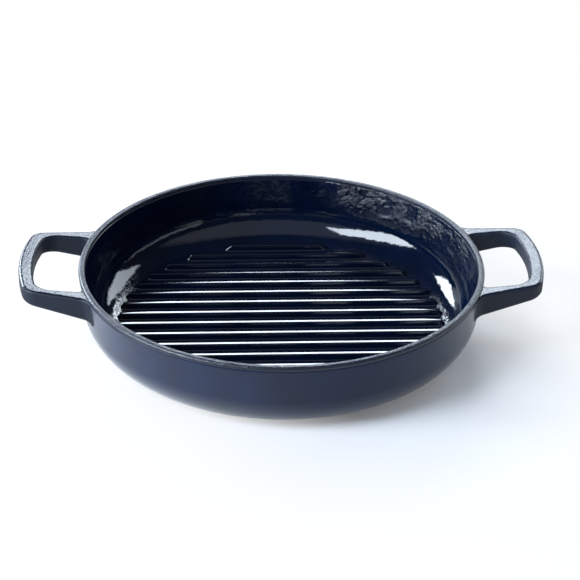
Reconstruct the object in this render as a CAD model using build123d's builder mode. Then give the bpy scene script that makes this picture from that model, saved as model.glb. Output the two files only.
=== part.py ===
from build123d import *

import os
from math import cos, radians, sin, sqrt, tan

# Round two-handled grill pan in enamelled cast iron.
# Frame: millimetres, origin at the centre of the underside, +X through the handles, +Z up.
# Sizes are those of the finished, coated pan. Each glass coat takes up the outermost layer.

# Pan body
rim_diameter = 280.0
pan_height = 53.5
wall_draft = 5.6  # degrees that the wall leans out
base_wrap = 17.0  # degrees that the underside's coat runs up round the outer corner
wall_thickness = 4.5
floor_thickness = 5.0
outer_corner_radius = 29.5
inner_cove_radius = 25.0
enamel_thickness = 0.4

# Rim
rim_band_height = 2.6
rim_outer_round = 1.9
rim_inner_round = 1.0

# Grill ridges
ridge_count = 16
ridge_height = 4.4  # above the coated floor
ridge_top_width = 3.1
ridge_foot_width = 6.2
ridge_top_round = 0.9
ridge_cove_run = 5.3  # how far the ridges' top ends reach past the flat floor, over the cove
ridge_end_spread = 1.8  # how much further out their feet end
ridge_edge_gap = 5.8  # from the outermost ridges' middles out to the circle of the top ends
ridge_top_corner_radius = 1.3
ridge_foot_corner_radius = 2.2

# Loop handles
handle_length = 40.3  # from the rim's radius out to the middle of the end face
handle_root_width = 97.0  # across both arms, at the rim's radius
handle_end_width = 82.5
handle_end_radius = 140.0
handle_corner_radius = 6.5
handle_end_bar_width = 9.6
handle_drop = 0.5  # from the rim's top down to the handle's top, at the rim's radius
handle_rise = 3.6  # of the handle's top, from the rim's radius to the end
handle_root_depth = 15.8
handle_end_depth = 10.2
finger_hole_width = 76.0
finger_hole_corner_radius = 9.0
finger_hole_web_radius = 4.0
handle_top_outer_round = 2.0
handle_top_inner_round = 1.6
handle_bottom_outer_round = 3.4
handle_bottom_inner_round = 2.2

# Shares of the sizes that they follow
floor_disc_share = 0.96  # of the flat floor's radius, where the floor casting meets the wall casting
handle_tail_share = 0.88  # of the rim's radius, where the handle's blank ends inside the wall
web_bite_share = 0.3  # of the wall's thickness, how deep the webs' arcs run into the wall

os.makedirs("parts", exist_ok=True)

rim_radius = rim_diameter / 2
slant = 1 / cos(radians(wall_draft))
rim_band_bottom = pan_height - rim_band_height


def wall_radius(height, depth):
    """Radius of the wall's layer that lies `depth` under its outer surface, at a height."""
    return rim_radius - (pan_height - height) * tan(radians(wall_draft)) - depth * slant


# Centres of the outer corner's arc and of the inner cove's arc, which every layer shares
corner_centre_height = outer_corner_radius
corner_centre_radius = wall_radius(corner_centre_height, outer_corner_radius)
cove_centre_height = floor_thickness + inner_cove_radius
cove_centre_radius = wall_radius(cove_centre_height, wall_thickness + inner_cove_radius)
floor_disc_radius = floor_disc_share * min(corner_centre_radius, cove_centre_radius)
iron_floor_top = floor_thickness - enamel_thickness
quarter_turn = 90
arc_sweep = quarter_turn - wall_draft


def corner_arc(depth, start=0, end=arc_sweep):
    """Outer corner of the layer `depth` under the outer surface, between two angles.

    The angles are counted in degrees from the underside, up to the wall at `arc_sweep`.
    """
    centre = (corner_centre_radius, corner_centre_height)
    return CenterArc(centre, outer_corner_radius - depth, start - quarter_turn, end - start)


def cove_arc(depth):
    """Inner cove of the layer `depth` under the inner surface, from the floor to the wall."""
    centre = (cove_centre_radius, cove_centre_height)
    return CenterArc(centre, inner_cove_radius + depth, -quarter_turn, arc_sweep)


# Floor casting: the flat iron disc under the ridges
with BuildPart() as pan_floor:
    with BuildSketch(Plane.XY.offset(enamel_thickness)):
        Circle(floor_disc_radius)
    extrude(amount=iron_floor_top - enamel_thickness)

# Wall casting: the floor's edge, the cove, the corner and the wall, in one ring
with BuildPart() as side_wall:
    with BuildSketch(Plane.XZ):
        with BuildLine():
            corner = corner_arc(enamel_thickness)
            cove = cove_arc(enamel_thickness)
            Polyline(
                corner @ 0,
                (floor_disc_radius, enamel_thickness),
                (floor_disc_radius, iron_floor_top),
                cove @ 0,
            )
            Polyline(
                corner @ 1,
                (wall_radius(rim_band_bottom, enamel_thickness), rim_band_bottom),
                (wall_radius(rim_band_bottom, wall_thickness - enamel_thickness), rim_band_bottom),
                cove @ 1,
            )
        make_face()
    revolve(axis=Axis.Z)

# Rim: the wall's full thickness, rounded more outside than inside
with BuildPart() as rim_band:
    with BuildSketch(Plane.XZ):
        with BuildLine():
            Polyline(
                (wall_radius(rim_band_bottom, 0), rim_band_bottom),
                (wall_radius(pan_height, 0), pan_height),
                (wall_radius(pan_height, wall_thickness), pan_height),
                (wall_radius(rim_band_bottom, wall_thickness), rim_band_bottom),
                close=True,
            )
        rim_profile = make_face()
        rim_corners = rim_profile.vertices().group_by(Axis.Z)[-1].sort_by(Axis.X)
        fillet(rim_corners[-1], radius=rim_outer_round)
        fillet(rim_corners[0], radius=rim_inner_round)
    revolve(axis=Axis.Z)

# Pan filled solid, as a tool: it trims what is cast onto the outside of the wall
with BuildPart() as filled_pan:
    with BuildSketch(Plane.XZ):
        with BuildLine():
            corner = corner_arc(enamel_thickness)
            Polyline(
                corner @ 1,
                (wall_radius(rim_band_bottom, enamel_thickness), rim_band_bottom),
                (wall_radius(rim_band_bottom, 0), rim_band_bottom),
                (wall_radius(pan_height, 0), pan_height),
                (0, pan_height),
                (0, enamel_thickness),
                corner @ 0,
            )
        filled_profile = make_face()
        filled_corners = filled_profile.vertices().group_by(Axis.Z)[-1].sort_by(Axis.X)
        fillet(filled_corners[-1], radius=rim_outer_round)
    revolve(axis=Axis.Z)


# Grill ridges: straight cast bars with drafted sides and ends, cut off by a circle in plan.
# Each stands on the iron floor, and its ends run onto the foot of the cove.
def ridge_outline(height, width, field_radius, corner_radius, offset):
    """Plan outline of one ridge at a height, `offset` from the pan's axis."""
    with BuildSketch(Plane.XY.offset(height)) as outline:
        Circle(field_radius)
        with Locations((0, offset)):
            Rectangle(2 * field_radius, width, mode=Mode.INTERSECT)
        fillet(outline.vertices(), radius=corner_radius)
    return outline.sketch


ridge_top = floor_thickness + ridge_height
ridge_top_field_radius = cove_centre_radius + ridge_cove_run
ridge_foot_field_radius = ridge_top_field_radius + ridge_end_spread
outermost_offset = ridge_top_field_radius - ridge_edge_gap
ridge_pitch = 2 * outermost_offset / (ridge_count - 1)
ridge_offsets = [outermost_offset - index * ridge_pitch for index in range(ridge_count)]
grill_ridges = []
for offset in ridge_offsets:
    with BuildPart() as grill_ridge:
        foot = ridge_outline(
            iron_floor_top, ridge_foot_width, ridge_foot_field_radius, ridge_foot_corner_radius, offset
        )
        top = ridge_outline(
            ridge_top, ridge_top_width, ridge_top_field_radius, ridge_top_corner_radius, offset
        )
        loft([foot.face(), top.face()], ruled=True)
        top_face = grill_ridge.faces().sort_by(Axis.Z)[-1]
        fillet(top_face.edges(), radius=ridge_top_round)
        add(side_wall.part, mode=Mode.SUBTRACT)
    grill_ridges.append(grill_ridge)

# Loop handles: each is one cast loop, seen in plan as a rounded bar on two arms.
# The +X one is drawn, cut to its sloping top and underside, rounded and trimmed to the wall.
half_root = handle_root_width / 2
half_end = handle_end_width / 2
half_hole = finger_hole_width / 2
handle_reach = rim_radius + handle_length
handle_top = pan_height - handle_drop
tail_x = handle_tail_share * rim_radius
tail_half_width = half_root + (half_root - half_end) / handle_length * (rim_radius - tail_x)
end_centre_x = handle_reach - handle_end_radius
hole_end_x = handle_reach - handle_end_bar_width
hole_end_radius = hole_end_x - end_centre_x


def end_arc_x(radius, offset):
    """Where the end's arc of a radius lies, `offset` beside the handle's middle."""
    return end_centre_x + sqrt(radius**2 - offset**2)


with BuildSketch() as handle_outline:
    with BuildLine():
        Polyline(
            (end_arc_x(handle_end_radius, half_end), -half_end),
            (tail_x, -tail_half_width),
            (tail_x, tail_half_width),
            (end_arc_x(handle_end_radius, half_end), half_end),
        )
        ThreePointArc(
            (end_arc_x(handle_end_radius, half_end), half_end),
            (handle_reach, 0),
            (end_arc_x(handle_end_radius, half_end), -half_end),
        )
    make_face()
    fillet(handle_outline.vertices().group_by(Axis.X)[-1], radius=handle_corner_radius)

# The finger hole runs in to the wall, where a web's arc rounds each corner. The web's arc is
# tangent to a circle a little inside the wall, so it meets the wall's surface at a clear angle.
web_circle_radius = wall_radius(handle_top, web_bite_share * wall_thickness)
web_y = half_hole - finger_hole_web_radius
web_x = sqrt((web_circle_radius + finger_hole_web_radius) ** 2 - web_y**2)
web_foot_share = web_circle_radius / (web_circle_radius + finger_hole_web_radius)
web_foot_x = web_foot_share * web_x
web_foot_y = web_foot_share * web_y
web_middle_x = web_x - finger_hole_web_radius * sin(radians(45))
web_middle_y = web_y + finger_hole_web_radius * cos(radians(45))

with BuildSketch() as finger_hole:
    with BuildLine():
        ThreePointArc((web_x, half_hole), (web_middle_x, web_middle_y), (web_foot_x, web_foot_y))
        Polyline(
            (web_foot_x, web_foot_y),
            (tail_x, web_foot_y),
            (tail_x, -web_foot_y),
            (web_foot_x, -web_foot_y),
        )
        ThreePointArc(
            (web_foot_x, -web_foot_y), (web_middle_x, -web_middle_y), (web_x, -half_hole)
        )
        Line((web_x, -half_hole), (end_arc_x(hole_end_radius, half_hole), -half_hole))
        ThreePointArc(
            (end_arc_x(hole_end_radius, half_hole), -half_hole),
            (hole_end_x, 0),
            (end_arc_x(hole_end_radius, half_hole), half_hole),
        )
        Line((end_arc_x(hole_end_radius, half_hole), half_hole), (web_x, half_hole))
    make_face()
    fillet(finger_hole.vertices().group_by(Axis.X)[-1], radius=finger_hole_corner_radius)

top_plane = Plane(
    origin=(rim_radius, 0, handle_top),
    x_dir=(handle_length, 0, handle_rise),
    z_dir=(-handle_rise, 0, handle_length),
)
underside_rise = handle_rise + handle_root_depth - handle_end_depth
underside_plane = Plane(
    origin=(rim_radius, 0, handle_top - handle_root_depth),
    x_dir=(handle_length, 0, underside_rise),
    z_dir=(-underside_rise, 0, handle_length),
)


def is_outer(edge):
    """Whether an edge runs round the handle's outside, and not round its finger hole."""
    middle = edge.center()
    beside_hole = abs(middle.Y) > (half_hole + half_end) / 2
    return beside_hole or middle.X > handle_reach - handle_end_bar_width / 2


with BuildPart() as right_handle:
    with BuildSketch():
        add(handle_outline.sketch)
        add(finger_hole.sketch, mode=Mode.SUBTRACT)
    extrude(amount=pan_height + handle_rise)
    split(bisect_by=top_plane, keep=Keep.BOTTOM)
    split(bisect_by=underside_plane, keep=Keep.TOP)
    # The two edges nearest the axis lie inside the wall and stay sharp
    top_edges = right_handle.faces().filter_by(top_plane).edges().sort_by(Axis.X)[2:]
    underside_edges = right_handle.faces().filter_by(underside_plane).edges().sort_by(Axis.X)[2:]
    outer_top_edges = top_edges.filter_by(is_outer)
    hole_top_edges = top_edges.filter_by(is_outer, reverse=True)
    outer_underside_edges = underside_edges.filter_by(is_outer)
    hole_underside_edges = underside_edges.filter_by(is_outer, reverse=True)
    fillet(outer_top_edges, radius=handle_top_outer_round)
    fillet(hole_top_edges, radius=handle_top_inner_round)
    fillet(outer_underside_edges, radius=handle_bottom_outer_round)
    fillet(hole_underside_edges, radius=handle_bottom_inner_round)
    add(filled_pan.part, mode=Mode.SUBTRACT)

with BuildPart() as left_handle:
    mirror(right_handle.part, about=Plane.YZ)

# Enamel on the underside: a thin flat coat, the face that the pan stands on. It runs a little
# way up the corner, where the outside coat takes over.
with BuildPart() as base_enamel:
    with BuildSketch(Plane.XZ):
        with BuildLine():
            surface = corner_arc(0, end=base_wrap)
            bond = corner_arc(enamel_thickness, end=base_wrap)
            Polyline(surface @ 0, (0, 0), (0, enamel_thickness), bond @ 0)
            Line(surface @ 1, bond @ 1)
        make_face()
    revolve(axis=Axis.Z)

# Enamel outside: round the corner and up the wall to the rim, open where the handles join
with BuildPart() as exterior_enamel:
    with BuildSketch(Plane.XZ):
        with BuildLine():
            surface = corner_arc(0, start=base_wrap)
            bond = corner_arc(enamel_thickness, start=base_wrap)
            Line(surface @ 0, bond @ 0)
            Polyline(
                surface @ 1,
                (wall_radius(rim_band_bottom, 0), rim_band_bottom),
                (wall_radius(rim_band_bottom, enamel_thickness), rim_band_bottom),
                bond @ 1,
            )
        make_face()
    revolve(axis=Axis.Z)
    add([right_handle.part, left_handle.part], mode=Mode.SUBTRACT)

# Enamel inside: floor, cove and wall in one coat, which the ridges stand through
with BuildPart() as interior_enamel:
    with BuildSketch(Plane.XZ):
        with BuildLine():
            surface = cove_arc(0)
            bond = cove_arc(enamel_thickness)
            Polyline(bond @ 0, (0, iron_floor_top), (0, floor_thickness), surface @ 0)
            Polyline(
                surface @ 1,
                (wall_radius(rim_band_bottom, wall_thickness), rim_band_bottom),
                (wall_radius(rim_band_bottom, wall_thickness - enamel_thickness), rim_band_bottom),
                bond @ 1,
            )
        make_face()
    revolve(axis=Axis.Z)
    add([grill_ridge.part for grill_ridge in grill_ridges], mode=Mode.SUBTRACT)

pieces = {
    "pan_floor": pan_floor,
    "side_wall": side_wall,
    "rim_band": rim_band,
    "right_handle": right_handle,
    "left_handle": left_handle,
    "base_enamel": base_enamel,
    "exterior_enamel": exterior_enamel,
    "interior_enamel": interior_enamel,
}
for number, grill_ridge in enumerate(grill_ridges, start=1):
    pieces[f"grill_ridge_{number:02d}"] = grill_ridge

for name, piece in pieces.items():
    piece.part.label = name
    export_step(piece.part, f"parts/{name}.step")
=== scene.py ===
"""Looks of a round two-handled grill pan: fired enamel over one iron casting.

Sizes are in millimetres, as on the casting's drawing, and meshes are made in metres. The pan's
axis is Z, the handles and the grill ridges lie along X, and the underside is at height zero.
"""

import logging
from dataclasses import dataclass
from enum import Enum
from math import atan2, cos, hypot, pi, radians, sin, sqrt, tan
from typing import Any, Callable, Sequence

import bpy
import numpy as np
from mathutils import Matrix, Vector


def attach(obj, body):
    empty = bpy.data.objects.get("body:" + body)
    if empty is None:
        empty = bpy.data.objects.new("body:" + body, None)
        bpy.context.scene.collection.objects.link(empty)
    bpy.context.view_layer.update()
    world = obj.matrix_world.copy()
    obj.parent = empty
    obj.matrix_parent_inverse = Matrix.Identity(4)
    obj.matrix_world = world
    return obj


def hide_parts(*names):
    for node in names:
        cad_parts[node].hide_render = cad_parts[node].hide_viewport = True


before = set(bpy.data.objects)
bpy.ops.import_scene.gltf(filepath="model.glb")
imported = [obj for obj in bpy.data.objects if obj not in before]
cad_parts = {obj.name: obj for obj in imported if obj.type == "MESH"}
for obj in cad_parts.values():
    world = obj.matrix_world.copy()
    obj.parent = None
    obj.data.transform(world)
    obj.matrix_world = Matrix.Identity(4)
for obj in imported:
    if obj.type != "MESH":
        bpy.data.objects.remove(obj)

log = logging.getLogger("grill_pan")

MM = 0.001
BODY = "root"
PHOTO_SIDE = 580.0
SENSOR_MM = 36.0
# Power of an area lamp for each unit of radiance and each square metre of its face
WATTS_PER_RADIANCE = 4.0
# A profile point nearer to the axis than this, in millimetres, becomes a single pole
ON_AXIS = 1e-9
# Multipliers that turn a lattice place and a seed into a random-looking whole number
HASH_X, HASH_Y, HASH_Z = 73856093, 19349663, 83492791
HASH_SEED, HASH_MIX = 2654435761, 1274126177
POSITIVE_BITS, LOW_BITS = 0x7FFFFFFF, 0xFFFF

Array = np.ndarray
Point2 = tuple[float, float]


def linear_colour(code: str) -> tuple[float, float, float, float]:
    """Turn an sRGB hex colour into the linear values that a shader takes.

    Args:
        code: Six hex digits, such as "2b3244".

    Returns:
        Linear red, green and blue, and full opacity.
    """
    channels = (int(code[start : start + 2], 16) / 255 for start in (0, 2, 4))
    red, green, blue = (c / 12.92 if c <= 0.04045 else ((c + 0.055) / 1.055) ** 2.4 for c in channels)
    return (red, green, blue, 1.0)


def per_metre(size_mm: float) -> float:
    """Texture scale at which a pattern's feature has a real size, on coordinates in metres."""
    return 1 / (size_mm * MM)


def lattice_noise(points: Array, size: float, seed: int) -> Array:
    """Smooth random relief, as a cast skin has, on a lattice of random values.

    Args:
        points: Places, in millimetres, one per row.
        size: Width of one bump, in millimetres.
        seed: Picks the pattern.

    Returns:
        One value from -1 to 1 for each place.
    """
    scaled = points / size
    low = np.floor(scaled).astype(np.int64)
    blend = scaled - low
    blend = blend * blend * (3 - 2 * blend)
    total = np.zeros(len(points))
    for corner in np.ndindex(2, 2, 2):
        node = low + np.array(corner)
        key = node[:, 0] * HASH_X ^ node[:, 1] * HASH_Y ^ node[:, 2] * HASH_Z ^ seed * HASH_SEED
        key = (key ^ (key >> 13)) * HASH_MIX & POSITIVE_BITS
        value = ((key ^ (key >> 16)) & LOW_BITS) / (LOW_BITS / 2) - 1
        weight = np.prod(np.where(np.array(corner), blend, 1 - blend), axis=1)
        total += value * weight
    return total


def round_join(first: Array, second: Array, radius: float | Array) -> Array:
    """Join two shapes to what lies inside both, and round the edge where they meet.

    Args:
        first: Distance outside one shape at each place.
        second: Distance outside the other.
        radius: The edge's radius.

    Returns:
        Distance outside the joined shape at each place.
    """
    a, b = first + radius, second + radius
    return np.minimum(np.maximum(a, b), 0) + np.hypot(np.maximum(a, 0), np.maximum(b, 0)) - radius


def fillet_union(first: Array, second: Array, radius: float | Array) -> Array:
    """Join two shapes to one, and fill the corner between them.

    Args:
        first: Distance outside one shape at each place.
        second: Distance outside the other.
        radius: The fillet's radius.

    Returns:
        Distance outside the joined shape at each place.
    """
    outside = np.maximum(radius, np.minimum(first, second))
    return outside - np.hypot(np.maximum(radius - first, 0), np.maximum(radius - second, 0))


def smooth_step(value: Array, low: float, high: float) -> Array:
    """Rise smoothly from 0 at `low` to 1 at `high`."""
    share = np.clip((value - low) / (high - low), 0, 1)
    return share * share * (3 - 2 * share)


def mesh_piece(name: str, points: Array, faces: Sequence[Sequence[int]] | Array) -> bpy.types.Object:
    """Make a smooth-shaded mesh object.

    Args:
        name: The piece's name.
        points: Vertex places in millimetres.
        faces: Vertex indices of each face.

    Returns:
        The object, linked to the scene.
    """
    mesh = bpy.data.meshes.new(name)
    mesh.from_pydata((np.asarray(points) * MM).tolist(), [], [list(map(int, face)) for face in faces])
    mesh.validate()
    mesh.polygons.foreach_set("use_smooth", [True] * len(mesh.polygons))
    mesh.update()
    piece = bpy.data.objects.new(name, mesh)
    bpy.context.scene.collection.objects.link(piece)
    return piece


def arc_points(centre: Point2, radius: float, start: float, end: float, count: int) -> list[Point2]:
    """Points along an arc, its ends included; angles in degrees from the horizontal."""
    angles = np.radians(np.linspace(start, end, count))
    return [(centre[0] + radius * cos(a), centre[1] + radius * sin(a)) for a in angles]


def line_points(start: Point2, end: Point2, pitch: float) -> list[Point2]:
    """Space points evenly along a straight line.

    Args:
        start: The first point.
        end: Where the line ends; no point is put there.
        pitch: About how far the points are apart.

    Returns:
        The points, from the start on.
    """
    steps = max(1, round(hypot(end[0] - start[0], end[1] - start[1]) / pitch))
    shares = np.arange(steps) / steps
    return [(start[0] + (end[0] - start[0]) * s, start[1] + (end[1] - start[1]) * s) for s in shares]


def revolve(profile: Sequence[Point2], segments: int) -> tuple[Array, list[tuple[int, ...]]]:
    """Turn a closed profile round the pan's axis.

    Args:
        profile: Radius and height of each point, counter-clockwise, no point repeated. Points on
            the axis become single poles.
        segments: Steps round the axis.

    Returns:
        Vertex places in millimetres, and faces.
    """
    angles = np.arange(segments) * 2 * pi / segments
    rings: list[Array] = []
    points: list[Array] = []
    start = 0
    for radius, height in profile:
        if radius < ON_AXIS:
            points.append(np.array([[0, 0, height]]))
            rings.append(np.full(segments, start))
            start += 1
        else:
            ring = np.stack([radius * np.cos(angles), radius * np.sin(angles), np.full(segments, height)], 1)
            points.append(ring)
            rings.append(np.arange(start, start + segments))
            start += segments
    faces: list[tuple[int, ...]] = []
    for this, following in zip(rings, rings[1:] + rings[:1]):
        if this[0] == this[1] and following[0] == following[1]:
            continue
        quads = np.stack([this, np.roll(this, -1), np.roll(following, -1), following], 1)
        for quad in quads.tolist():
            faces.append(tuple(dict.fromkeys(quad)))
    return np.concatenate(points), faces


def surface_net(values: Array, origin: Array, step: float) -> tuple[Array, Array]:
    """Skin the region where a sampled distance is negative.

    Args:
        values: Distances on a regular lattice.
        origin: Place of its first sample, in millimetres.
        step: Lattice pitch, in millimetres.

    Returns:
        Vertex places in millimetres, and four-cornered faces.
    """
    inside = values < 0
    cells = tuple(count - 1 for count in values.shape)
    total = np.zeros(cells + (3,))
    hits = np.zeros(cells)
    crossings = []
    for axis in range(3):
        low = tuple(slice(0, -1) if a == axis else slice(None) for a in range(3))
        high = tuple(slice(1, None) if a == axis else slice(None) for a in range(3))
        crosses = inside[low] != inside[high]
        share = np.where(crosses, values[low] / np.where(crosses, values[low] - values[high], 1), 0)
        crossings.append(crosses)
        beside = [a for a in range(3) if a != axis]
        for shift in np.ndindex(2, 2):
            pick = [slice(None)] * 3
            for a, s in zip(beside, shift):
                pick[a] = slice(s, s + cells[a])
            hit = crosses[tuple(pick)]
            place = np.zeros(cells + (3,))
            place[..., axis] = share[tuple(pick)]
            for a, s in zip(beside, shift):
                place[..., a] = s
            total += place * hit[..., None]
            hits += hit
    active = hits > 0
    index = np.full(cells, -1)
    index[active] = np.arange(active.sum())
    points = origin + step * (np.argwhere(active) + total[active] / hits[active][:, None])
    faces = []
    for axis, crosses in enumerate(crossings):
        u, v = [(axis + 1) % 3, (axis + 2) % 3]
        edges = np.argwhere(crosses)
        edges = edges[(edges[:, u] > 0) & (edges[:, v] > 0)]
        edges = edges[(edges[:, u] < cells[u]) & (edges[:, v] < cells[v])]
        corners = []
        for du, dv in ((1, 1), (0, 1), (0, 0), (1, 0)):
            cell = edges.copy()
            cell[:, u] -= du
            cell[:, v] -= dv
            corners.append(index[cell[:, 0], cell[:, 1], cell[:, 2]])
        quads = np.stack(corners, 1)
        starts_inside = inside[edges[:, 0], edges[:, 1], edges[:, 2]]
        quads[~starts_inside] = quads[~starts_inside][:, ::-1]
        faces.append(quads)
    return points, np.concatenate(faces)


def settle(points: Array, faces: Array, distance: Callable[[Array], Array], rounds: int) -> Array:
    """Even out a skin's vertices and draw them onto the exact surface.

    Args:
        points: Vertex places.
        faces: Four-cornered faces.
        distance: Signed distance to the surface at each place.
        rounds: How often to even out and draw in.

    Returns:
        The new vertex places.
    """
    probe = 0.02
    flattest = 0.25
    farthest = 0.5
    for turn in range(rounds):
        if turn < rounds - 1:
            total = np.zeros_like(points)
            count = np.zeros(len(points))
            for a, b in ((0, 1), (1, 2), (2, 3), (3, 0)):
                np.add.at(total, faces[:, a], points[faces[:, b]])
                np.add.at(total, faces[:, b], points[faces[:, a]])
                np.add.at(count, faces[:, a], 1)
                np.add.at(count, faces[:, b], 1)
            points = (points + total / count[:, None]) / 2
        for _ in range(2):
            here = distance(points)
            slope = np.stack([distance(points + probe * axis) - here for axis in np.eye(3)], 1) / probe
            size = np.maximum((slope**2).sum(1), flattest)
            points = points - slope * np.clip(here / size, -farthest, farthest)[:, None]
    return points


# Finishes


def add_node(
    tree: bpy.types.NodeTree, kind: str, inputs: dict[Any, Any] | None = None, **settings: Any
) -> bpy.types.Node:
    """Add a shader node.

    Args:
        tree: The node tree it goes in.
        kind: Blender's name for the kind of node.
        inputs: Socket name or number to a value, or to the output socket that feeds it.
        settings: The node's own settings.

    Returns:
        The node.
    """
    node = tree.nodes.new(kind)
    for name, value in settings.items():
        setattr(node, name, value)
    for socket, value in (inputs or {}).items():
        if isinstance(value, bpy.types.NodeSocket):
            tree.links.new(value, node.inputs[socket])
        else:
            node.inputs[socket].default_value = value
    return node


def colour_ramp(
    tree: bpy.types.NodeTree, factor: bpy.types.NodeSocket, stops: Sequence[tuple[float, Any]]
) -> bpy.types.NodeSocket:
    """Turn a factor into a colour or a grey level.

    Args:
        tree: The node tree.
        factor: The output that drives the ramp.
        stops: Position and colour of each stop; a plain number is a grey level.

    Returns:
        The ramp's colour output.
    """
    ramp = add_node(tree, "ShaderNodeValToRGB", {"Fac": factor})
    for number, (position, colour) in enumerate(stops):
        elements = ramp.color_ramp.elements
        element = elements[number] if number < 2 else elements.new(position)
        element.position = position
        element.color = colour if isinstance(colour, tuple) else (colour, colour, colour, 1)
    return ramp.outputs["Color"]


def map_span(
    tree: bpy.types.NodeTree, value: bpy.types.NodeSocket, span: Point2, low: Any = 0.0, high: Any = 1.0
) -> bpy.types.NodeSocket:
    """Turn the part of a value inside a span into another range, held at its ends.

    Args:
        tree: The node tree.
        value: The output to turn.
        span: Where the range starts and ends; it may run downwards.
        low: What the span's start becomes, a number or an output.
        high: What its end becomes, a number or an output.

    Returns:
        The new value's output.
    """
    inputs = {"Value": value, "From Min": span[0], "From Max": span[1], "To Min": low, "To Max": high}
    return add_node(tree, "ShaderNodeMapRange", inputs).outputs["Result"]


def combine(tree: bpy.types.NodeTree, operation: str, first: Any, second: Any) -> bpy.types.NodeSocket:
    """Join two values, each a number or an output, by one of the Math node's operations."""
    return add_node(tree, "ShaderNodeMath", {0: first, 1: second}, operation=operation).outputs[0]


@dataclass(frozen=True)
class Relief:
    """One layer of a surface's fine relief.

    Where `above_mm` is given, the layer starts at that height over the pan's underside and is full
    `fade_mm` higher up; a negative fade counts downwards. Where `towards` is given, it rises from
    `side_rest` to full over `side_span`, in metres from the pan's axis that way. Where `patch_mm` is
    given, it comes and goes in patches of that size, down to `patch_rest` between them.
    """

    size_mm: float
    height_mm: float
    above_mm: float | None = None
    detail: float = 2.0
    fade_mm: float = 8.0
    raggedness: float = 0.55
    towards: tuple[float, float, float] | None = None
    side_span: Point2 = (0.109, 0.118)
    side_rest: float = 0.06
    patch_mm: float | None = None
    patch_span: Point2 = (0.4, 0.56)
    patch_rest: float = 0.25

    def build(self, tree: bpy.types.NodeTree, place: bpy.types.NodeSocket) -> bpy.types.NodeSocket:
        """Add the layer's nodes.

        Args:
            tree: The material's node tree.
            place: Coordinates in metres.

        Returns:
            The layer's height, from 0 to 1.
        """
        scale = per_metre(self.size_mm)
        grain = add_node(
            tree,
            "ShaderNodeTexNoise",
            {"Vector": place, "Scale": scale, "Detail": self.detail, "Roughness": self.raggedness},
        ).outputs["Fac"]
        levels = []
        if self.above_mm is not None:
            start = self.above_mm * MM
            rise = add_node(tree, "ShaderNodeSeparateXYZ", {0: place}).outputs["Z"]
            levels.append(map_span(tree, rise, (start, start + self.fade_mm * MM)))
        if self.towards is not None:
            along = add_node(
                tree, "ShaderNodeVectorMath", {0: place, 1: self.towards}, operation="DOT_PRODUCT"
            ).outputs["Value"]
            levels.append(map_span(tree, along, self.side_span, self.side_rest))
        if self.patch_mm is not None:
            patches = add_node(
                tree, "ShaderNodeTexNoise", {"Vector": place, "Scale": per_metre(self.patch_mm)}
            ).outputs["Fac"]
            levels.append(map_span(tree, patches, self.patch_span, self.patch_rest))
        for level in levels:
            grain = combine(tree, "MULTIPLY", grain, level)
        return grain


@dataclass(frozen=True)
class Enamel:
    """Vitreous enamel fired onto cast iron: a thin glass skin over the casting's grain.

    The glass gives a clear Fresnel sheen over a nearly black blue. Where the coat is thin the
    sand-cast grain of the iron shows through it as a leathery relief that breaks reflections. Where
    `side_roughness` is given, the coat is that rough on faces that look sideways or down. `sheen`
    is the soft bloom of a satin coat's fine crystals.
    """

    name: str
    colour: str
    deep_colour: str
    roughness: float
    roughness_spread: float
    reliefs: tuple[Relief, ...]
    ior: float = 1.52
    patch_mm: float = 26.0
    patch_detail: float = 3.0
    patch_span: Point2 = (0.3, 0.7)
    side_roughness: float | None = None
    side_span: Point2 = (0.55, 0.85)
    sheen: float = 0.0

    def make(self) -> bpy.types.Material:
        """Make the material.

        Returns:
            The node-based material.
        """
        material = bpy.data.materials.new(self.name)
        material.use_nodes = True
        tree = material.node_tree
        tree.nodes.clear()
        place = add_node(tree, "ShaderNodeTexCoord").outputs["Object"]
        patches = add_node(
            tree,
            "ShaderNodeTexNoise",
            {"Vector": place, "Scale": per_metre(self.patch_mm), "Detail": self.patch_detail},
        ).outputs["Fac"]
        deep, pale = self.patch_span
        stops = [(deep, linear_colour(self.deep_colour)), (pale, linear_colour(self.colour))]
        colour = colour_ramp(tree, patches, stops)
        low = self.roughness - self.roughness_spread
        high = self.roughness + self.roughness_spread
        roughness = map_span(tree, patches, self.patch_span, low, high)
        if self.side_roughness is not None:
            facing = add_node(tree, "ShaderNodeNewGeometry").outputs["Normal"]
            upward = add_node(tree, "ShaderNodeSeparateXYZ", {0: facing}).outputs["Z"]
            roughness = map_span(tree, upward, self.side_span, self.side_roughness, roughness)
        shader = add_node(
            tree,
            "ShaderNodeBsdfPrincipled",
            {"Base Color": colour, "Roughness": roughness, "IOR": self.ior, "Sheen Weight": self.sheen},
        )
        normal = None
        for relief in self.reliefs:
            grain = relief.build(tree, place)
            inputs = {"Height": grain, "Strength": 1.0, "Distance": relief.height_mm * MM}
            if normal is not None:
                inputs["Normal"] = normal
            normal = add_node(tree, "ShaderNodeBump", inputs).outputs["Normal"]
        if normal is not None:
            tree.links.new(normal, shader.inputs["Normal"])
        add_node(tree, "ShaderNodeOutputMaterial", {"Surface": shader.outputs["BSDF"]})
        return material


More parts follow.
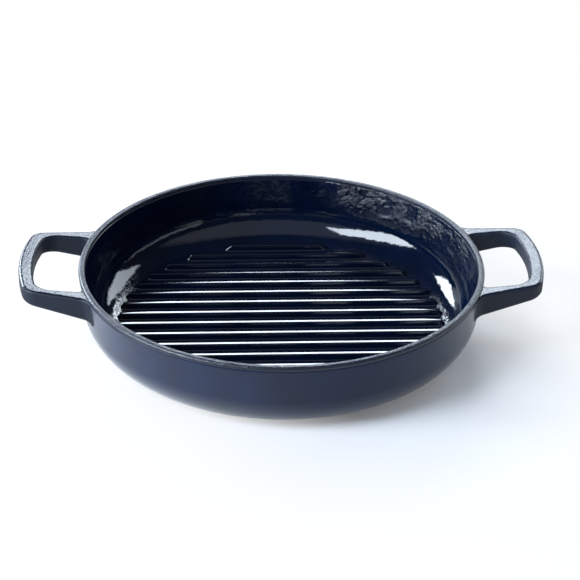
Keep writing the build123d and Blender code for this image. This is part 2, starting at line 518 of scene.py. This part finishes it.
@dataclass(frozen=True)
class CastIron:
    """Grey iron as it left the sand mould: dark, dull and grainy, hidden under the enamel."""

    name: str = "sand_cast_grey_iron"
    colour: str = "3a3b3d"
    deep_colour: str = "222325"
    roughness: float = 0.6
    grain_mm: float = 0.9
    grain_detail: float = 4.0
    grain_span: Point2 = (0.35, 0.65)
    grain_strength: float = 0.6
    grain_height_mm: float = 0.2

    def make(self) -> bpy.types.Material:
        """Make the material.

        Returns:
            The node-based material.
        """
        material = bpy.data.materials.new(self.name)
        material.use_nodes = True
        tree = material.node_tree
        tree.nodes.clear()
        place = add_node(tree, "ShaderNodeTexCoord").outputs["Object"]
        grain = add_node(
            tree,
            "ShaderNodeTexNoise",
            {"Vector": place, "Scale": per_metre(self.grain_mm), "Detail": self.grain_detail},
        ).outputs["Fac"]
        deep, pale = self.grain_span
        stops = [(deep, linear_colour(self.deep_colour)), (pale, linear_colour(self.colour))]
        colour = colour_ramp(tree, grain, stops)
        depth = self.grain_height_mm * MM
        bump = add_node(
            tree, "ShaderNodeBump", {"Height": grain, "Strength": self.grain_strength, "Distance": depth}
        ).outputs["Normal"]
        shader = add_node(
            tree,
            "ShaderNodeBsdfPrincipled",
            {"Base Color": colour, "Metallic": 1.0, "Roughness": self.roughness, "Normal": bump},
        )
        add_node(tree, "ShaderNodeOutputMaterial", {"Surface": shader.outputs["BSDF"]})
        return material


class Finish(Enum):
    """The pan's finishes."""

    # Glassy cover coat of the bowl: mirror-like in the smooth cove, its reflections broken up
    # at the cove's foot and high on the wall's far right, where the casting's grain shows through
    GLOSS = Enamel(
        "gloss_black_vitreous_enamel",
        colour="030f27",
        deep_colour="020a1c",
        roughness=0.07,
        roughness_spread=0.02,
        reliefs=(
            Relief(
                3.4, 3.0, above_mm=27.0, detail=6.0, fade_mm=6.0, towards=(0.8, 0.6, 0.0), patch_mm=14.0
            ),
            Relief(2.6, 0.5, above_mm=9.5, fade_mm=-3.0),
            Relief(3.0, 0.05),
            Relief(0.9, 0.01),
        ),
    )
    # The same coat on the ridges, pooled smooth: one clean bright line along each crown
    SMOOTH_GLOSS = Enamel(
        "smooth_black_vitreous_enamel",
        colour="030d22",
        deep_colour="020918",
        roughness=0.09,
        roughness_spread=0.02,
        reliefs=(Relief(6.0, 0.05),),
    )
    # Satin cover coat outside: weak soft mirror under a pale bloom that grows towards the edges
    SATIN = Enamel(
        "satin_blue_black_vitreous_enamel",
        colour="0c1d3a",
        deep_colour="09172e",
        roughness=0.2,
        roughness_spread=0.02,
        reliefs=(Relief(14.0, 0.05), Relief(1.6, 0.012)),
        ior=1.2,
        sheen=0.32,
    )
    # The handles' satin coat, thin over a leathery grain: a broad soft shine on top, dull sides
    LEATHERY = Enamel(
        "leathery_blue_black_vitreous_enamel",
        colour="0a172b",
        deep_colour="081222",
        roughness=0.26,
        roughness_spread=0.03,
        reliefs=(Relief(2.8, 0.2), Relief(1.5, 0.12)),
        ior=1.42,
        side_roughness=0.6,
    )
    # Matt coat of the rim: dry and grainy, scatters the back light
    GRAINY = Enamel(
        "matt_grainy_vitreous_enamel",
        colour="111c30",
        deep_colour="0b1424",
        roughness=0.34,
        roughness_spread=0.05,
        reliefs=(Relief(2.4, 0.5), Relief(1.3, 0.3)),
    )
    # Thin ground coat on the underside: duller, with the hob's fine rubbing
    BASE = Enamel(
        "matt_ground_coat_enamel",
        colour="1a2233",
        deep_colour="121a2a",
        roughness=0.5,
        roughness_spread=0.06,
        reliefs=(Relief(1.2, 0.03),),
    )
    IRON = CastIron()


class Finishes:
    """Makes each finish's material once and hands it out."""

    def __init__(self) -> None:
        """Start with none made."""
        self._made: dict[Finish, bpy.types.Material] = {}

    def dress(self, piece: bpy.types.Object, finish: Finish) -> None:
        """Give a piece one finish all over.

        Args:
            piece: The piece to dress.
            finish: Its finish, whose material is made at the first use.
        """
        if finish not in self._made:
            self._made[finish] = finish.value.make()
        piece.data.materials.clear()
        piece.data.materials.append(self._made[finish])


# Shape of the casting


@dataclass
class PanShape:
    """The casting's section, from which every round piece takes its profile."""

    rim_radius: float = 139.98
    height: float = 53.5
    draft: float = 5.6
    wall: float = 4.5
    floor: float = 5.0
    corner: float = 29.5
    cove: float = 25.0
    coat: float = 0.4
    band: float = 2.6
    base_wrap: float = 17.0
    cove_share: float = 0.98

    def __post_init__(self) -> None:
        """Work out the arcs' centres."""
        self.band_bottom = self.height - self.band
        self.corner_centre = (self.wall_radius(self.corner, self.corner), self.corner)
        cove_height = self.floor + self.cove
        self.cove_centre = (self.wall_radius(cove_height, self.wall + self.cove), cove_height)

    def wall_radius(self, height: float, depth: float) -> float:
        """Radius of the wall's layer `depth` under its outer surface, at a height."""
        slope = radians(self.draft)
        return self.rim_radius - (self.height - height) * tan(slope) - depth / cos(slope)

    def inner_height(self, radius: Array) -> Array:
        """Height of the finished inner surface over the floor and the cove, at a radius."""
        run = np.clip(radius - self.cove_centre[0], 0, self.cove * self.cove_share)
        return self.floor + self.cove - np.sqrt(self.cove**2 - run**2)

    def wall_distance(self, points: Array) -> Array:
        """Measure how far places lie outside the wall, above its corner.

        Args:
            points: Places in millimetres, one per row.

        Returns:
            The distance from the finished outer surface, negative inside.
        """
        slope = radians(self.draft)
        radius = np.hypot(points[:, 0], points[:, 1])
        return (radius - self.rim_radius + (self.height - points[:, 2]) * tan(slope)) * cos(slope)


def place_piece(piece: bpy.types.Object, nodes: Sequence[str]) -> bpy.types.Object:
    """Fix a piece to the pan in place of the casting regions that it stands for.

    Args:
        piece: The finished piece.
        nodes: The nodes that it replaces.

    Returns:
        The same piece.
    """
    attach(piece, BODY)
    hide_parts(*nodes)
    log.info("%s: %d vertices, %d faces", piece.name, len(piece.data.vertices), len(piece.data.polygons))
    return piece


@dataclass
class EnamelSkin:
    """Coats of the bowl: inside, outside and underside."""

    shape: PanShape
    finishes: Finishes
    segments: int = 1080
    wall_pitch: float = 1.0
    outer_pitch: float = 1.5
    floor_pitch: float = 3.0
    underside_pitch: float = 6.0
    cove_points: int = 44
    cove_back_points: int = 24
    corner_points: int = 40
    corner_back_points: int = 20
    edge_points: int = 12
    edge_back_points: int = 8
    wave_size: float = 5.5
    wave_height: float = 0.055
    wave_seed: int = 11
    dent_size: float = 23.0
    dent_depth: float = 0.04
    dent_seed: int = 21

    def _wavy(self, points: Array) -> Array:
        """Move the inner surface by the slow unevenness of a sand-cast wall.

        Args:
            points: Places on the smooth surface, in millimetres.

        Returns:
            The places, moved along the radius on the wall and along the axis on the floor.
        """
        fine_wave = lattice_noise(points, self.wave_size / 2, self.wave_seed + 1)
        wave = lattice_noise(points, self.wave_size, self.wave_seed) + fine_wave / 2
        radius = np.maximum(np.hypot(points[:, 0], points[:, 1]), self.wall_pitch)
        away = points[:, :2] / radius[:, None]
        moved = points.copy()
        upright = smooth_step(radius, self.shape.cove_centre[0], self.shape.rim_radius - self.shape.wall)
        moved[:, :2] += away * (wave * self.wave_height * upright)[:, None]
        moved[:, 2] -= wave * self.wave_height * (1 - upright)
        return moved

    def inside(self) -> bpy.types.Object:
        """Make the gloss coat of the floor, the cove and the wall.

        Returns:
            The placed piece.
        """
        s = self.shape
        top = (s.wall_radius(s.band_bottom, s.wall), s.band_bottom)
        top_back = (s.wall_radius(s.band_bottom, s.wall - s.coat), s.band_bottom)
        cove = arc_points(s.cove_centre, s.cove, -90, -s.draft, self.cove_points)
        surface = line_points((0, s.floor), (s.cove_centre[0], s.floor), self.floor_pitch)
        surface += cove[:-1] + line_points(cove[-1], top, self.wall_pitch)
        back = arc_points(s.cove_centre, s.cove + s.coat, -s.draft, -90, self.cove_back_points)
        floor_back = (0, s.floor - s.coat)
        profile = surface + [top, top_back] + back + [floor_back]
        points, faces = revolve(profile, self.segments)
        visible = len(revolve(surface, self.segments)[0])
        points[1:visible] = self._wavy(points[1:visible])
        piece = mesh_piece("interior_gloss_enamel", points, faces)
        self.finishes.dress(piece, Finish.GLOSS)
        return place_piece(piece, ["interior_enamel"])

    def outside(self) -> bpy.types.Object:
        """Make the satin coat of the corner and the wall.

        Returns:
            The placed piece.
        """
        s = self.shape
        start = s.base_wrap - 90
        corner = arc_points(s.corner_centre, s.corner, start, -s.draft, self.corner_points)
        top = (s.wall_radius(s.band_bottom, 0), s.band_bottom)
        top_back = (s.wall_radius(s.band_bottom, s.coat), s.band_bottom)
        surface = corner[:-1] + line_points(corner[-1], top, self.outer_pitch)
        back = arc_points(s.corner_centre, s.corner - s.coat, -s.draft, start, self.corner_back_points)
        points, faces = revolve(surface + [top, top_back] + back, self.segments)
        visible = points[: len(surface) * self.segments]
        dents = np.abs(lattice_noise(visible, self.dent_size, self.dent_seed)) * self.dent_depth
        visible[:, :2] -= visible[:, :2] * (dents / s.rim_radius)[:, None]
        piece = mesh_piece("exterior_satin_enamel", points, faces)
        self.finishes.dress(piece, Finish.SATIN)
        return place_piece(piece, ["exterior_enamel"])

    def underside(self) -> bpy.types.Object:
        """Make the ground coat of the flat underside.

        Returns:
            The placed piece.
        """
        s = self.shape
        end = s.base_wrap - 90
        surface = line_points((0, 0), (s.corner_centre[0], 0), self.underside_pitch)
        surface += arc_points(s.corner_centre, s.corner, -90, end, self.edge_points)
        back = arc_points(s.corner_centre, s.corner - s.coat, end, -90, self.edge_back_points)
        points, faces = revolve(surface + back + [(0, s.coat)], self.segments // 2)
        piece = mesh_piece("underside_ground_coat", points, faces)
        self.finishes.dress(piece, Finish.BASE)
        return place_piece(piece, ["base_enamel"])


@dataclass
class Rim:
    """The rim: the wall's full thickness, its coat dry and grainy."""

    shape: PanShape
    finishes: Finishes
    segments: int = 1440
    outer_round: float = 1.9
    inner_round: float = 1.0
    outer_points: int = 14
    inner_points: int = 10
    pitch: float = 0.5
    under_pitch: float = 2.0
    grain_size: float = 1.7
    grain_height: float = 0.1
    grain_seed: int = 31
    coarse_grain_ratio: float = 2.3
    coarse_grain_share: float = 0.6
    grain_start: float = 0.4
    grain_full: float = 0.6

    def build(self) -> bpy.types.Object:
        """Make the rim.

        Returns:
            The placed piece.
        """
        s = self.shape
        slope = radians(s.draft)
        outer_low = (s.wall_radius(s.band_bottom, 0), s.band_bottom)
        inner_low = (s.wall_radius(s.band_bottom, s.wall), s.band_bottom)
        outer_height = s.height - self.outer_round
        outer_centre = (s.wall_radius(outer_height, self.outer_round), outer_height)
        inner_height = s.height - self.inner_round
        inner_centre = (s.wall_radius(inner_height, s.wall) + self.inner_round / cos(slope), inner_height)
        outer = arc_points(outer_centre, self.outer_round, -s.draft, 90, self.outer_points)
        inner = arc_points(inner_centre, self.inner_round, 90, 180 - s.draft, self.inner_points)
        profile = (
            line_points(outer_low, outer[0], self.pitch)
            + outer[:-1]
            + line_points(outer[-1], inner[0], self.pitch)
            + inner[:-1]
            + line_points(inner[-1], inner_low, self.pitch)
            + line_points(inner_low, outer_low, self.under_pitch)
        )
        points, faces = revolve(profile, self.segments)
        top = smooth_step(points[:, 2], s.band_bottom + self.grain_start, s.height - self.grain_full)
        coarse_size = self.grain_size * self.coarse_grain_ratio
        coarse_grain = self.coarse_grain_share * lattice_noise(points, coarse_size, self.grain_seed + 1)
        grain = lattice_noise(points, self.grain_size, self.grain_seed) + coarse_grain
        points[:, 2] -= np.abs(grain) * self.grain_height * top
        piece = mesh_piece("rim", points, faces)
        self.finishes.dress(piece, Finish.GRAINY)
        return place_piece(piece, ["rim_band"])


@dataclass
class GrillRidges:
    """The straight ridges on the floor, each with a filleted foot and a rounded crown."""

    shape: PanShape
    finishes: Finishes
    count: int = 16
    pitch: float = 14.34
    height: float = 4.4
    top_half_width: float = 1.55
    foot_half_width: float = 3.1
    top_round: float = 0.75
    foot_round: float = 1.1
    crown: float = 0.02
    cove_run: float = 5.3
    end_spread: float = 1.8
    top_corner: float = 1.3
    foot_corner: float = 2.2
    side_pitch: float = 1.6
    least_steps: int = 8
    flank_pitch: float = 0.9
    foot_points: int = 7
    shoulder_points: int = 8
    corner_points: int = 6
    end_points: int = 5
    corner_share: float = 0.95
    crown_shares: tuple[float, ...] = (0.75, 0.5, 0.25, 0.08)
    wave_size: float = 17.0
    wave_height: float = 0.03
    wave_foot: float = 1.0
    wave_seed: int = 41
    sunk: float = 0.25

    def _section(self) -> list[tuple[float, float]]:
        """Draw half of a ridge's section.

        Returns:
            Half-width and height over the floor of each point, from the foot's outside to the crown.
        """
        rise = self.height
        lean = atan2(self.foot_half_width - self.top_half_width, rise)
        turn = pi / 2 - lean
        foot_centre = (self.foot_half_width + self.foot_round * tan(turn / 2), self.foot_round)
        foot = [
            (foot_centre[0] - self.foot_round * sin(a), foot_centre[1] - self.foot_round * cos(a))
            for a in np.linspace(0, turn, self.foot_points)
        ]
        shoulder_centre = (self.top_half_width - self.top_round * tan(turn / 2), rise - self.top_round)
        shoulder = [
            (shoulder_centre[0] + self.top_round * cos(a), shoulder_centre[1] + self.top_round * sin(a))
            for a in np.linspace(lean, pi / 2, self.shoulder_points)
        ]
        side = line_points(foot[-1], shoulder[0], self.flank_pitch)[1:]
        top = [
            (shoulder_centre[0] * share, rise + self.crown * (1 - share**2)) for share in self.crown_shares
        ]
        return foot + side + shoulder + top

    def _outline(self, offset: float, half_width: float, field_radius: float, corner: float) -> Array:
        """Plan outline at one level, with the same number of points at every level.

        Args:
            offset: The ridge's place across the pan.
            half_width: Half of its width at this level.
            field_radius: Radius of the circle that cuts its ends.
            corner: Radius of its corners.

        Returns:
            Points round the outline, counter-clockwise from the near side's left end.
        """
        corner = min(corner, half_width * self.corner_share)
        long_steps = self._steps(offset)
        near, far = offset - half_width, offset + half_width
        quarter = []
        for edge, sign in ((near, 1), (far, -1)):
            centre_y = edge + sign * corner
            centre_x = sqrt((field_radius - corner) ** 2 - centre_y**2)
            end_angle = atan2(centre_y, centre_x)
            quarter.append((centre_x, centre_y, end_angle))
        right = []
        x0, y0, a0 = quarter[0]
        for a in np.linspace(-pi / 2, a0, self.corner_points):
            right.append((x0 + corner * cos(a), y0 + corner * sin(a)))
        x1, y1, a1 = quarter[1]
        for a in np.linspace(a0, a1, self.end_points)[1:-1]:
            right.append((field_radius * cos(a), field_radius * sin(a)))
        for a in np.linspace(a1, pi / 2, self.corner_points):
            right.append((x1 + corner * cos(a), y1 + corner * sin(a)))
        right_end = np.array(right)
        left_end = right_end[::-1] * [-1, 1]
        near_run = np.linspace(-x0, x0, long_steps + 1)[1:-1]
        far_run = np.linspace(x1, -x1, long_steps + 1)[1:-1]
        near_side = np.column_stack([near_run, np.full_like(near_run, near)])
        far_side = np.column_stack([far_run, np.full_like(far_run, far)])
        return np.concatenate([near_side, right_end, far_side, left_end])

    def length(self, offset: float) -> float:
        """Length of the ridge at its crown."""
        field_radius = self.shape.cove_centre[0] + self.cove_run
        return 2 * sqrt(field_radius**2 - offset**2)

    def _ridge(self, number: int, offset: float) -> bpy.types.Object:
        """Make one ridge.

        Args:
            number: Its number, counted from the far side.
            offset: Its place across the pan.

        Returns:
            The placed piece.
        """
        s = self.shape
        top_field = s.cove_centre[0] + self.cove_run
        section = self._section()
        rings = []
        for half_width, rise in section:
            level = min(max(rise / self.height, 0), 1)
            spread = max(half_width - self.foot_half_width, 0)
            shrink = max(self.top_half_width - half_width, 0) if rise > self.height / 2 else 0
            field_radius = top_field + self.end_spread * (1 - level) + spread - shrink
            corner = self.foot_corner + (self.top_corner - self.foot_corner) * level + spread
            outline = self._outline(offset, half_width, field_radius, corner)
            base = s.inner_height(np.hypot(outline[:, 0], outline[:, 1]))
            height = base + rise * (s.floor + self.height - base) / self.height
            rings.append(np.column_stack([outline, height]))
        under = rings[0].copy()
        under[:, 2] -= self.sunk
        rings = [under] + rings
        count = len(under)
        points = np.concatenate(rings)
        wave = lattice_noise(points[count:], self.wave_size, self.wave_seed + number)
        rising = smooth_step(points[count:, 2], s.floor + self.wave_foot, s.floor + self.height)
        points[count:, 2] += self.wave_height * wave * rising
        faces = []
        for level in range(len(rings) - 1):
            low = np.arange(count) + level * count
            high = low + count
            faces += np.stack([low, np.roll(low, -1), np.roll(high, -1), high], 1).tolist()
        end_count = count // 2 - (self._steps(offset) - 1)
        faces += self._cap((len(rings) - 1) * count, offset, end_count, False)
        faces += self._cap(0, offset, end_count, True)
        piece = mesh_piece(f"grill_ridge_bar_{number:02d}", points, faces)
        self.finishes.dress(piece, Finish.SMOOTH_GLOSS)
        return place_piece(piece, [f"grill_ridge_{number:02d}"])

    def _steps(self, offset: float) -> int:
        """Steps along each long side."""
        return max(self.least_steps, round(self.length(offset) / self.side_pitch))

    def _cap(self, start: int, offset: float, end_count: int, downward: bool) -> list[list[int]]:
        """Close an outline by joining each point to the one across it.

        Args:
            start: Index of the outline's first point.
            offset: The ridge's place across the pan.
            end_count: Points on each end.
            downward: Whether the cap faces down.

        Returns:
            The cap's faces.
        """
        side = self._steps(offset) - 1
        count = 2 * side + 2 * end_count
        half = end_count // 2
        near = [(i - half) % count for i in range(side + end_count)]
        far = [(count - half - 1 - i) % count for i in range(side + end_count)]
        faces = []
        for a, b, c, d in zip(near, near[1:], far[1:], far):
            face = [start + i for i in dict.fromkeys((a, b, c, d))]
            if len(face) > 2:
                faces.append(face[::-1] if downward else face)
        return faces

    def build(self) -> list[bpy.types.Object]:
        """Make all the ridges.

        Returns:
            The placed pieces, from the far side to the near side.
        """
        offsets = [((self.count - 1) / 2 - index) * self.pitch for index in range(self.count)]
        return [self._ridge(number, offset) for number, offset in enumerate(offsets, start=1)]


@dataclass
class LoopHandle:
    """One cast loop handle, flowing into the wall with a fillet all round its roots."""

    shape: PanShape
    finishes: Finishes
    length: float = 40.28
    root_width: float = 97.0
    end_width: float = 82.5
    end_radius: float = 140.0
    corner: float = 6.5
    bar: float = 9.6
    drop: float = 0.55
    rise: float = 3.6
    root_depth: float = 15.8
    end_depth: float = 10.2
    hole_width: float = 76.0
    hole_corner: float = 9.0
    top_outer_round: float = 2.3
    top_inner_round: float = 2.0
    under_outer_round: float = 3.2
    under_inner_round: float = 2.2
    web_radius: float = 4.5
    side_fillet: float = 5.0
    under_fillet: float = 3.2
    bite: float = 2.0
    feather: float = 0.012
    step: float = 0.7
    settle_rounds: int = 5
    room_inward: float = 18.0
    room_outward: float = 2.0
    room_beside: float = 9.0
    room_above: float = 6.0
    room_below: float = 26.0

    def distance(self, points: Array) -> Array:
        """Distance outside the handle on +X, its roots blended into the wall.

        Args:
            points: Places in millimetres, one per row.

        Returns:
            The signed distance at each place, negative inside.
        """
        x, y, z = points[:, 0], np.abs(points[:, 1]), points[:, 2]
        flare = (self.root_width - self.end_width) / 2 / self.length
        out = x - self.shape.rim_radius
        centre = self.shape.rim_radius + self.length - self.end_radius
        reach = np.hypot(x - centre, y)
        side = (y - self.root_width / 2 + flare * out) / hypot(1, flare)
        wall = self.shape.wall_distance(points)
        outer = fillet_union(round_join(side, reach - self.end_radius, self.corner), wall, self.side_fillet)
        hole = round_join(y - self.hole_width / 2, reach - self.end_radius + self.bar, self.hole_corner)
        hole = round_join(hole, -wall, self.web_radius)
        top_slope = self.rise / self.length
        under_slope = (self.rise + self.root_depth - self.end_depth) / self.length
        top_height = self.shape.height - self.drop
        top = (z - top_height - top_slope * out) / hypot(1, top_slope)
        under = (top_height - self.root_depth + under_slope * out - z) / hypot(1, under_slope)
        under = fillet_union(under, wall, self.under_fillet)
        upper = np.maximum(
            round_join(outer, top, self.top_outer_round),
            round_join(-hole, top, self.top_inner_round),
        )
        lower = np.maximum(
            round_join(outer, under, self.under_outer_round),
            round_join(-hole, under, self.under_inner_round),
        )
        loop = np.maximum(upper, lower)
        return np.maximum(np.maximum(loop, -wall - self.bite), self.feather - (wall - loop))

    def _skin(self) -> tuple[Array, Array]:
        """Skin the handle on +X.

        Returns:
            Vertex places in millimetres, and faces.
        """
        edge, top = self.shape.rim_radius, self.shape.height
        beside = self.root_width / 2 + self.room_beside
        low = np.array([edge - self.room_inward, -beside, top - self.room_below])
        high = np.array([edge + self.length + self.room_outward, beside, top + self.room_above])
        counts = np.ceil((high - low) / self.step).astype(int) + 1
        axes = [low[a] + self.step * np.arange(counts[a]) for a in range(3)]
        lattice = np.stack(np.meshgrid(*axes, indexing="ij"), -1)
        values = self.distance(lattice.reshape(-1, 3)).reshape(lattice.shape[:3])
        points, faces = surface_net(values, low, self.step)
        return settle(points, faces, self.distance, self.settle_rounds), faces

    def build(self) -> list[bpy.types.Object]:
        """Make both handles, mirror images of each other.

        Returns:
            The placed pieces, right and left.
        """
        points, faces = self._skin()
        pieces = []
        for side, mirror in (("right", 1), ("left", -1)):
            turned = faces if mirror > 0 else faces[:, ::-1]
            piece = mesh_piece(f"{side}_loop_handle", points * [mirror, 1, 1], turned)
            self.finishes.dress(piece, Finish.LEATHERY)
            pieces.append(place_piece(piece, [f"{side}_handle"]))
        return pieces


@dataclass
class HiddenCasting:
    """The iron under the coats, which keeps its shape from the frame."""

    finishes: Finishes
    nodes: tuple[str, ...] = ("pan_floor", "side_wall")

    def dress(self) -> None:
        """Give the iron its finish."""
        for node in self.nodes:
            self.finishes.dress(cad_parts[node], Finish.IRON)
            log.info("%s: kept, as cast iron", node)


# Studio


@dataclass
class Camera:
    """The camera, where the photograph's perspective puts it.

    Places are in millimetres from the rim's centre, in the plane of the rim's top. Angles are in
    degrees, and what the camera can see lies between two distances in metres.
    """

    rim_height: float
    focal_px: float = 1729.7
    distance: float = 1195.15
    elevation: float = 28.527
    azimuth: float = -2.736
    roll: float = 0.870
    aim_across: float = 5.9965
    aim_down: float = 23.09
    nearest: float = 0.05
    farthest: float = 60.0

    def build(self) -> None:
        """Make the camera and set it as the scene's own."""
        turn, tip, roll = radians(self.azimuth), radians(self.elevation), radians(self.roll)
        away = Vector((sin(turn) * cos(tip), -cos(turn) * cos(tip), sin(tip)))
        centre = Vector((0, 0, self.rim_height))
        place = centre + away * self.distance
        aim = centre + Vector((self.aim_across * cos(turn), self.aim_across * sin(turn), -self.aim_down))
        back = (place - aim).normalized()
        right = Vector((0, 0, 1)).cross(back).normalized()
        up = back.cross(right)
        rolled_right = cos(roll) * right + sin(roll) * up
        rolled_up = -sin(roll) * right + cos(roll) * up
        data = bpy.data.cameras.new("studio_camera")
        data.sensor_width = SENSOR_MM
        data.lens = self.focal_px / PHOTO_SIDE * SENSOR_MM
        data.clip_start, data.clip_end = self.nearest, self.farthest
        camera = bpy.data.objects.new("studio_camera", data)
        axes = Matrix((rolled_right, rolled_up, back)).transposed().to_4x4()
        camera.matrix_world = Matrix.Translation(place * MM) @ axes
        bpy.context.scene.collection.objects.link(camera)
        bpy.context.scene.camera = camera


@dataclass(frozen=True)
class Softbox:
    """A rectangular soft lamp that faces the pan.

    Angles are in degrees: the azimuth counts from behind the pan towards +X, and `wide` and `tall`
    are what the lamp covers as seen from the pan. Its distance is in metres.
    """

    name: str
    azimuth: float
    elevation: float
    wide: float
    tall: float
    radiance: float
    lean: float = 0.0
    distance: float = 1.8
    colour: str = "e6f2ff"

    def build(self) -> None:
        """Make the lamp."""
        turn, tip = radians(self.azimuth), radians(self.elevation)
        towards = Vector((sin(turn) * cos(tip), cos(turn) * cos(tip), sin(tip)))
        data = bpy.data.lights.new(self.name, "AREA")
        data.shape = "RECTANGLE"
        data.size = 2 * self.distance * tan(radians(self.wide / 2))
        data.size_y = 2 * self.distance * tan(radians(self.tall / 2))
        data.energy = WATTS_PER_RADIANCE * self.radiance * data.size * data.size_y
        data.color = linear_colour(self.colour)[:3]
        lamp = bpy.data.objects.new(self.name, data)
        upright = towards.to_track_quat("Z", "Y").to_matrix().to_4x4()
        leaning = Matrix.Rotation(radians(self.lean), 4, "Z")
        lamp.matrix_world = Matrix.Translation(towards * self.distance) @ upright @ leaning
        bpy.context.scene.collection.objects.link(lamp)


@dataclass
class Studio:
    """Pale floor with a painted glow, soft lamps and a surround that is white to the eye.

    Lengths are in metres, but for the gap under the pan, in millimetres, and elevations in degrees.
    The floor's painted glow, seen straight and in reflections but lighting nothing, is given at shares of
    its reach from the shade's middle: weak there, a painted shade that keeps the lamps' shadow dark, and
    full further out.
    """

    softboxes: tuple[Softbox, ...] = (
        Softbox("left_strip_softbox", azimuth=-110, elevation=29, wide=21, tall=57, radiance=14, lean=-34),
        Softbox("back_left_softbox", azimuth=-40.5, elevation=21, wide=23, tall=20, radiance=18),
        Softbox("back_softbox", azimuth=5, elevation=32.5, wide=25, tall=11, radiance=15),
        Softbox("back_right_softbox", azimuth=47, elevation=24, wide=28, tall=28, radiance=4),
        Softbox("right_white_board", azimuth=101, elevation=9, wide=58, tall=13, radiance=1.0),
        Softbox("left_white_board", azimuth=-68, elevation=8, wide=26, tall=6, radiance=2.5),
    )
    floor_side: float = 12.0
    floor_gap: float = 0.05
    floor_colour: str = "e4e7eb"
    floor_roughness: float = 0.9
    # Middle of the shade, reach of the floor's painted glow, and the glow's strength at shares of that
    # reach: little in the lamps' shadow, a painted shade, and full far out
    shade_middle: tuple[float, float, float] = (0.07, -0.06, 0.0)
    painted_glow_reach: float = 0.6
    painted_glow_steps: tuple[tuple[float, float], ...] = ((0.1, 0.13), (0.23, 0.72), (1.0, 1.0))
    surround_colour: str = "e6eefa"
    surround: float = 0.06
    front_wall: float = 0.55
    front_wall_foot: Point2 = (26.0, 29.0)
    front_side: Point2 = (-0.05, -0.25)
    level_band: Point2 = (9.0, 3.0)

    def build(self) -> None:
        """Make the floor, the lamps and the world."""
        for softbox in self.softboxes:
            softbox.build()
        self._floor()
        self._world()
        bpy.context.scene.view_settings.view_transform = "Standard"

    def _floor(self) -> None:
        """Make the floor that the pan stands on, glowing with painted light that is weakest round the
        shade's middle.
        """
        half = self.floor_side / 2 / MM
        corners = ((-half, -half), (half, -half), (half, half), (-half, half))
        points = np.array([(x, y, -self.floor_gap) for x, y in corners])
        floor = mesh_piece("studio_floor", points, [(0, 1, 2, 3)])
        material = bpy.data.materials.new("pale_studio_paper_with_painted_glow")
        material.use_nodes = True
        tree = material.node_tree
        tree.nodes.clear()
        paper = {"Base Color": linear_colour(self.floor_colour), "Roughness": self.floor_roughness}
        shader = add_node(tree, "ShaderNodeBsdfPrincipled", paper)
        # Painted light: the floor glows white to camera and mirror rays, less round the shade's middle,
        # where this painted shade keeps the lamps' shadow dark
        white = add_node(tree, "ShaderNodeEmission", {"Color": (1, 1, 1, 1), "Strength": 1.0})
        place = add_node(tree, "ShaderNodeNewGeometry").outputs["Position"]
        away = add_node(tree, "ShaderNodeVectorMath", {0: place, 1: self.shade_middle}, operation="DISTANCE")
        share = combine(tree, "DIVIDE", away.outputs["Value"], self.painted_glow_reach)
        painted_glow = colour_ramp(tree, share, self.painted_glow_steps)
        painted_glow_seen = combine(tree, "MULTIPLY", self._looking(tree), painted_glow)
        mix = add_node(
            tree, "ShaderNodeMixShader", {0: painted_glow_seen, 1: shader.outputs["BSDF"], 2: white.outputs[0]}
        )
        add_node(tree, "ShaderNodeOutputMaterial", {"Surface": mix.outputs[0]})
        floor.data.materials.append(material)

    @staticmethod
    def _looking(tree: bpy.types.NodeTree) -> bpy.types.NodeSocket:
        """Tell rays that look at a surface, straight or in a mirror, from rays that light it.

        Args:
            tree: The node tree.

        Returns:
            An output of one for a ray that looks and zero for one that lights.
        """
        path = add_node(tree, "ShaderNodeLightPath").outputs
        mirrored = combine(tree, "MAXIMUM", path["Is Glossy Ray"], path["Is Transmission Ray"])
        return combine(tree, "MAXIMUM", path["Is Camera Ray"], mirrored)

    @staticmethod
    def _sines(elevations: Point2) -> Point2:
        """Turn two elevations in degrees into heights on a sphere of radius one."""
        return (sin(radians(elevations[0])), sin(radians(elevations[1])))

    def _world(self) -> None:
        """Make the surround: white to the camera and in level reflections, dim as a light."""
        world = bpy.data.worlds.new("studio_surround")
        bpy.context.scene.world = world
        world.use_nodes = True
        tree = world.node_tree
        tree.nodes.clear()
        camera_ray = add_node(tree, "ShaderNodeLightPath").outputs["Is Camera Ray"]
        way = add_node(tree, "ShaderNodeTexCoord").outputs["Generated"]
        axes = add_node(tree, "ShaderNodeSeparateXYZ", {0: way}).outputs
        high = map_span(tree, axes["Z"], self._sines(self.front_wall_foot))
        in_front = map_span(tree, axes["Y"], self.front_side)
        front = combine(tree, "MULTIPLY", high, in_front)
        strength = map_span(tree, front, (0.0, 1.0), self.surround, self.front_wall)
        colour = linear_colour(self.surround_colour)
        dim = add_node(tree, "ShaderNodeBackground", {"Color": colour, "Strength": strength})
        level_view = map_span(tree, axes["Z"], self._sines(self.level_band))
        mirrored = combine(tree, "MULTIPLY", self._looking(tree), level_view)
        seen = combine(tree, "MAXIMUM", camera_ray, mirrored)
        white = add_node(tree, "ShaderNodeBackground", {"Color": (1, 1, 1, 1), "Strength": 1.0})
        mix = add_node(tree, "ShaderNodeMixShader", {0: seen, 1: dim.outputs[0], 2: white.outputs[0]})
        add_node(tree, "ShaderNodeOutputWorld", {"Surface": mix.outputs[0]})


def main() -> None:
    """Build the pan's looks and the studio round it."""
    logging.basicConfig(level=logging.INFO, format="%(name)s: %(message)s")
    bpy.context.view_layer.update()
    shape = PanShape()
    finishes = Finishes()
    Camera(rim_height=shape.height).build()
    Studio().build()
    HiddenCasting(finishes).dress()
    skin = EnamelSkin(shape, finishes)
    skin.inside()
    skin.outside()
    skin.underside()
    Rim(shape, finishes).build()
    GrillRidges(shape, finishes).build()
    LoopHandle(shape, finishes).build()


if __name__ == "__main__":
    main()
